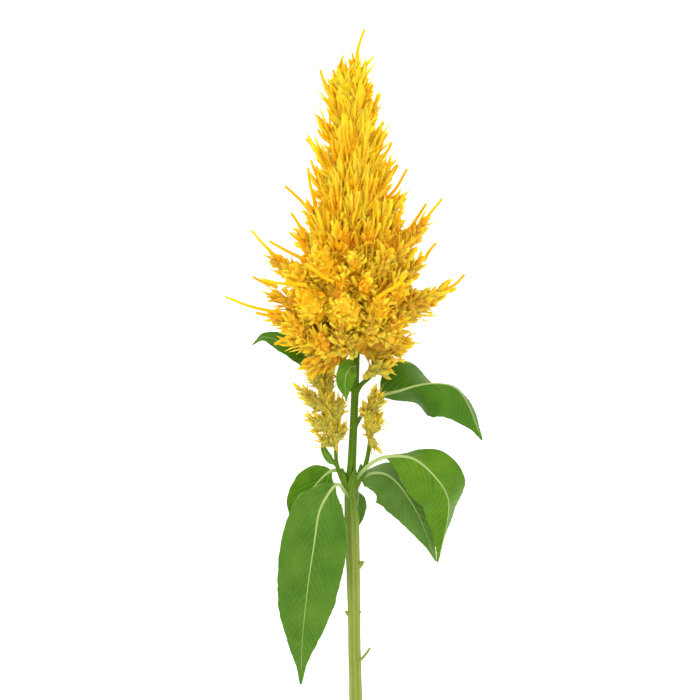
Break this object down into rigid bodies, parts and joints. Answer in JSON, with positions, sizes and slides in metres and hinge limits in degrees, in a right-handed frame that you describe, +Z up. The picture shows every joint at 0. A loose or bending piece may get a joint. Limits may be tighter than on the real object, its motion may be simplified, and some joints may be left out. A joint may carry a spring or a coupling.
{
  "type": "plume celosia cut stem",
  "caption": "Cut stem of yellow plume celosia lying on its side: a tapered, feathery plume of pointed florets, small side plumes and drooping green leaves on a ribbed stem.",
  "frame": {"origin": "on the surface that the stem lies on, under the middle of the whole flower", "axes": "+Y along the stem from its cut end to the tip of the plume, +X to the right as seen from above, +Z up"},
  "size_m": [0.1294, 0.361, 0.0707],
  "materials": {
    "stem": "green ribbed plant stem, satin",
    "florets": "papery yellow florets, matt",
    "leaf": "green leaf with paler veins, satin"
  },
  "bodies": {
    "root": {"stem": "stem", "plume": "florets", "left_side_plume": "florets", "right_side_plume": "florets", "front_left_leaf": "leaf", "back_left_leaf": "leaf", "front_right_leaf": "leaf", "back_right_leaf": "leaf", "upper_right_leaf": "leaf", "upper_left_leaf": "leaf", "behind_leaf": "leaf", "inner_leaf": "leaf", "narrow_leaf": "leaf"}
  },
  "joints": []
}
